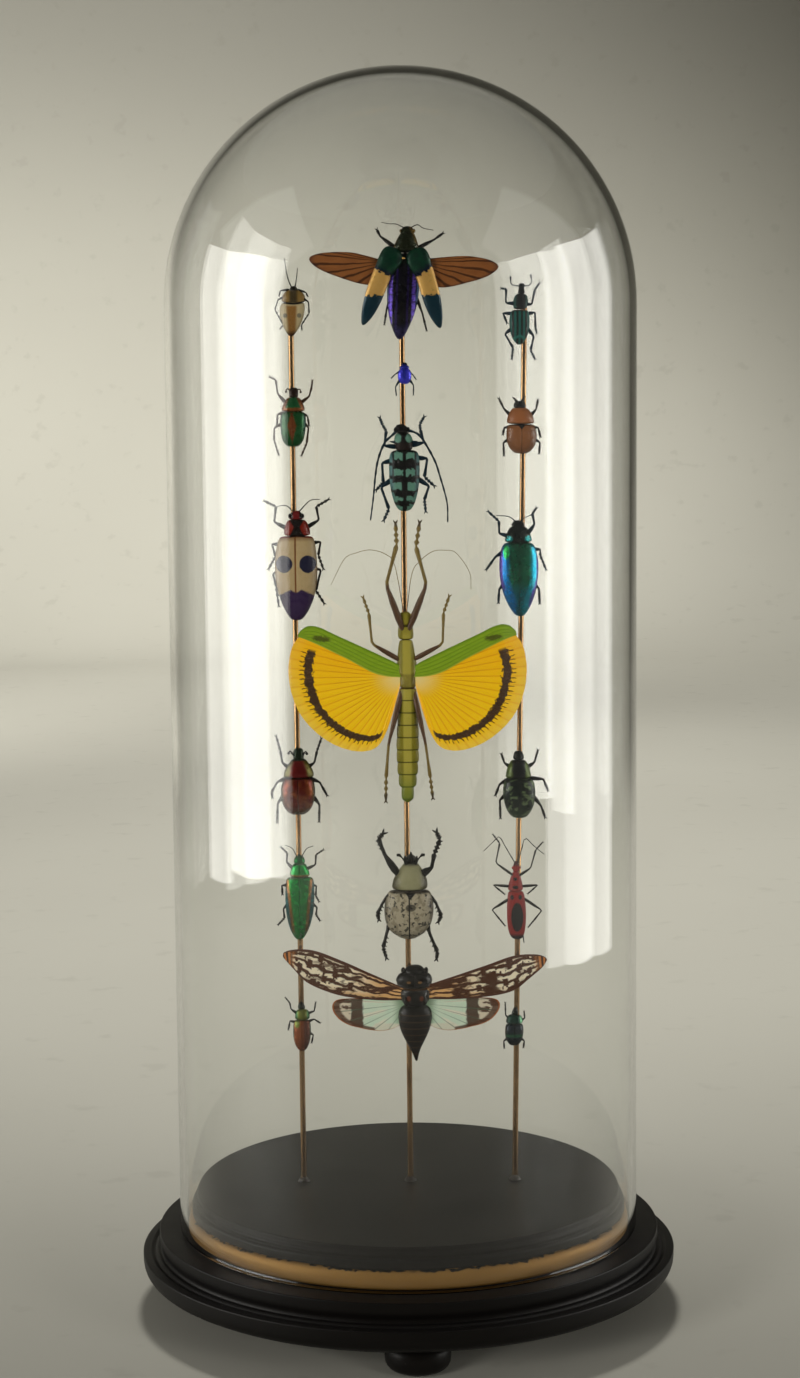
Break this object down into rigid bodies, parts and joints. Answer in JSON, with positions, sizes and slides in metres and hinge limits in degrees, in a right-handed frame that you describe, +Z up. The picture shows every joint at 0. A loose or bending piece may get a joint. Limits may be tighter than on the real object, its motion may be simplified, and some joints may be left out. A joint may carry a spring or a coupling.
{
  "type": "insect display dome",
  "caption": "Tall glass display dome on a turned black base, with dry mounted insects fixed on upright rods inside.",
  "frame": {"origin": "on the ground under the middle of the base", "axes": "+Z up along the axis of the dome, the insects face -Y, +X to the right of a viewer in front"},
  "size_m": [0.2212, 0.2212, 0.5053],
  "materials": {
    "black_wood": "ebonised and polished, satin",
    "gilt": "gold paint on wood, worn along its upper edge",
    "dome_glass": "clear, polished",
    "copper_rod": "copper coloured, satin",
    "shell_green": "metallic green cuticle",
    "shell_blue": "metallic blue cuticle",
    "shell_mint": "black cuticle with mint bands, matt",
    "wing_yellow": "yellow membrane with a dark band",
    "shell_olive": "olive and grey cuticle with black flecks",
    "wing_brown": "dark brown body, veined wings",
    "shell_cream": "cream cuticle with dark markings",
    "shell_chestnut": "red-brown cuticle",
    "shell_copper": "green to copper cuticle",
    "shell_teal": "teal scales with black stripes",
    "shell_red": "red and black cuticle"
  },
  "bodies": {
    "root": {"foot_front": "black_wood", "foot_right": "black_wood", "foot_left": "black_wood", "plinth": "black_wood", "platform": "black_wood", "gilt_bead": "gilt", "glass_dome": "dome_glass", "rod_left": "copper_rod", "rod_centre": "copper_rod", "rod_right": "copper_rod", "open_winged_jewel_beetle": "shell_green", "small_blue_beetle": "shell_blue", "banded_longhorn_beetle": "shell_mint", "yellow_winged_stick_insect": "wing_yellow", "horned_scarab_beetle": "shell_olive", "mint_winged_cicada": "wing_brown", "cream_shield_bug": "shell_cream", "green_flower_beetle": "shell_green", "cream_jewel_beetle": "shell_cream", "red_brown_chafer": "shell_chestnut", "emerald_jewel_beetle": "shell_green", "copper_leaf_beetle": "shell_copper", "teal_weevil": "shell_teal", "chestnut_scarab": "shell_chestnut", "blue_jewel_beetle": "shell_blue", "mottled_green_chafer": "shell_green", "red_cotton_bug": "shell_red", "dark_green_beetle": "shell_green"}
  },
  "joints": []
}
